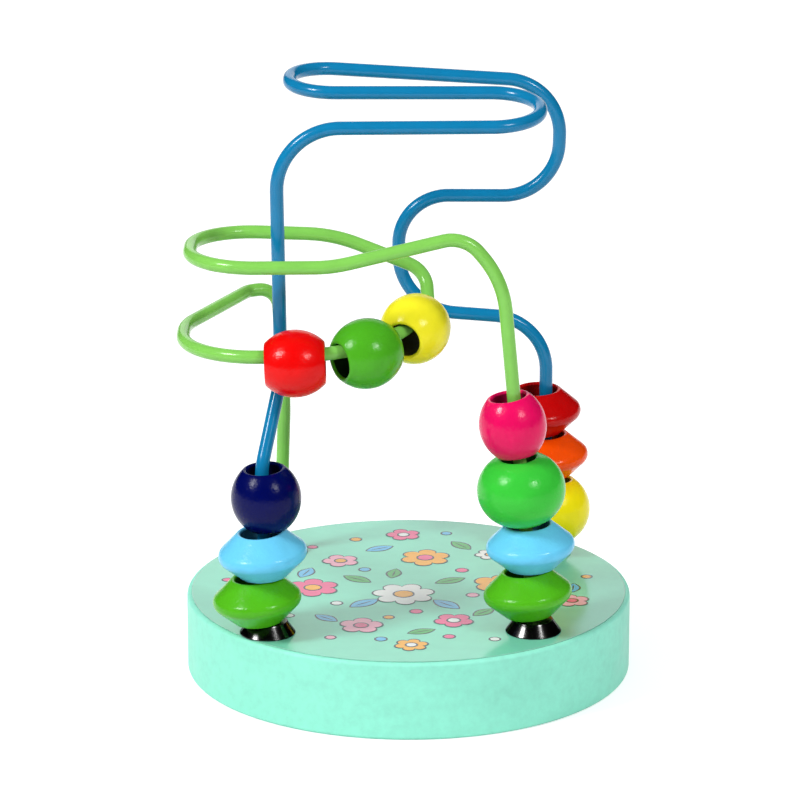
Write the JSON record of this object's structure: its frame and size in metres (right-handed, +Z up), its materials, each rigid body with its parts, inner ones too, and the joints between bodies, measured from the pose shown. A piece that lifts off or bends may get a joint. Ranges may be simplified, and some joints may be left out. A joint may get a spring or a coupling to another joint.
{
  "type": "bead maze",
  "caption": "Small table-top bead maze: bent coated wires with painted wooden beads to slide along them, standing in black collars on a round wooden base.",
  "frame": {"origin": "centre of the round base's flat underside", "axes": "+X to the right and +Y to the back as seen from the front, +Z up"},
  "size_m": [0.0911, 0.09, 0.1209],
  "materials": {
    "base_paint": "gloss paint",
    "printed_film": "satin print",
    "steel": "bright drawn wire",
    "blue_coat": "gloss",
    "green_coat": "gloss",
    "black_plastic": "gloss",
    "leaf_green_paint": "gloss paint",
    "sky_blue_paint": "gloss paint",
    "navy_paint": "gloss paint",
    "fresh_green_paint": "gloss paint",
    "magenta_paint": "gloss paint",
    "yellow_paint": "gloss paint",
    "orange_paint": "gloss paint",
    "red_paint": "gloss paint"
  },
  "bodies": {
    "frame": {"base": "base_paint", "top_film": "printed_film", "blue_core": "steel", "blue_sleeve": "blue_coat", "green_core": "steel", "green_sleeve": "green_coat", "collar_front_left": "black_plastic", "collar_front_right": "black_plastic", "collar_back_left": "black_plastic", "collar_back_right": "black_plastic"},
    "left_green_saucer": {"left_green_saucer": "leaf_green_paint"},
    "left_blue_saucer": {"left_blue_saucer": "sky_blue_paint"},
    "left_navy_ball": {"left_navy_ball": "navy_paint"},
    "right_green_saucer": {"right_green_saucer": "leaf_green_paint"},
    "right_blue_saucer": {"right_blue_saucer": "sky_blue_paint"},
    "right_green_oval": {"right_green_oval": "fresh_green_paint"},
    "right_magenta_ball": {"right_magenta_ball": "magenta_paint"},
    "back_yellow_ball": {"back_yellow_ball": "yellow_paint"},
    "back_orange_saucer": {"back_orange_saucer": "orange_paint"},
    "back_red_saucer": {"back_red_saucer": "red_paint"},
    "middle_yellow_ball": {"middle_yellow_ball": "yellow_paint"},
    "middle_green_ball": {"middle_green_ball": "leaf_green_paint"},
    "middle_red_ball": {"middle_red_ball": "red_paint"}
  },
  "joints": [
    {"name": "left_green_saucer_slide", "type": "slide", "parent": "frame", "child": "left_green_saucer", "axis": [-0.0335, 0, 0.9994], "range_m": [0, 0.0005]},
    {"name": "left_blue_saucer_slide", "type": "slide", "parent": "left_green_saucer", "child": "left_blue_saucer", "axis": [-0.0335, 0, 0.9994], "range_m": [0, 0.0006]},
    {"name": "left_navy_ball_slide", "type": "slide", "parent": "left_blue_saucer", "child": "left_navy_ball", "axis": [-0.0335, 0, 0.9994], "range_m": [0, 0.0008]},
    {"name": "right_green_saucer_slide", "type": "slide", "parent": "frame", "child": "right_green_saucer", "axis": [-0.0936, 0, 0.9956], "range_m": [0, 0.003]},
    {"name": "right_blue_saucer_slide", "type": "slide", "parent": "right_green_saucer", "child": "right_blue_saucer", "axis": [-0.0936, 0, 0.9956], "range_m": [0, 0.0035]},
    {"name": "right_green_oval_slide", "type": "slide", "parent": "right_blue_saucer", "child": "right_green_oval", "axis": [-0.0936, 0, 0.9956], "range_m": [0, 0.004]},
    {"name": "right_magenta_ball_slide", "type": "slide", "parent": "right_green_oval", "child": "right_magenta_ball", "axis": [-0.0936, 0, 0.9956], "range_m": [0, 0.006]},
    {"name": "back_yellow_ball_slide", "type": "slide", "parent": "frame", "child": "back_yellow_ball", "axis": [0, 0, 1], "range_m": [0, 0.002]},
    {"name": "back_orange_saucer_slide", "type": "slide", "parent": "back_yellow_ball", "child": "back_orange_saucer", "axis": [0, 0, 1], "range_m": [0, 0.002]},
    {"name": "back_red_saucer_slide", "type": "slide", "parent": "back_orange_saucer", "child": "back_red_saucer", "axis": [0, 0, 1], "range_m": [0, 0.003]},
    {"name": "middle_green_ball_travel", "type": "hinge", "parent": "frame", "child": "middle_green_ball", "pos_m": [-0.02076, -0.00325, 0.07676], "axis": [0.0386, 0.1428, -0.989], "range_deg": [-1.8, 1]},
    {"name": "middle_yellow_ball_travel", "type": "hinge", "parent": "middle_green_ball", "child": "middle_yellow_ball", "pos_m": [-0.02076, -0.00325, 0.07676], "axis": [0.0386, 0.1428, -0.989], "range_deg": [-1.6, 0.5]},
    {"name": "middle_red_ball_slide", "type": "slide", "parent": "frame", "child": "middle_red_ball", "axis": [-0.9992, 0, -0.039], "range_m": [0, 0.004]}
  ]
}
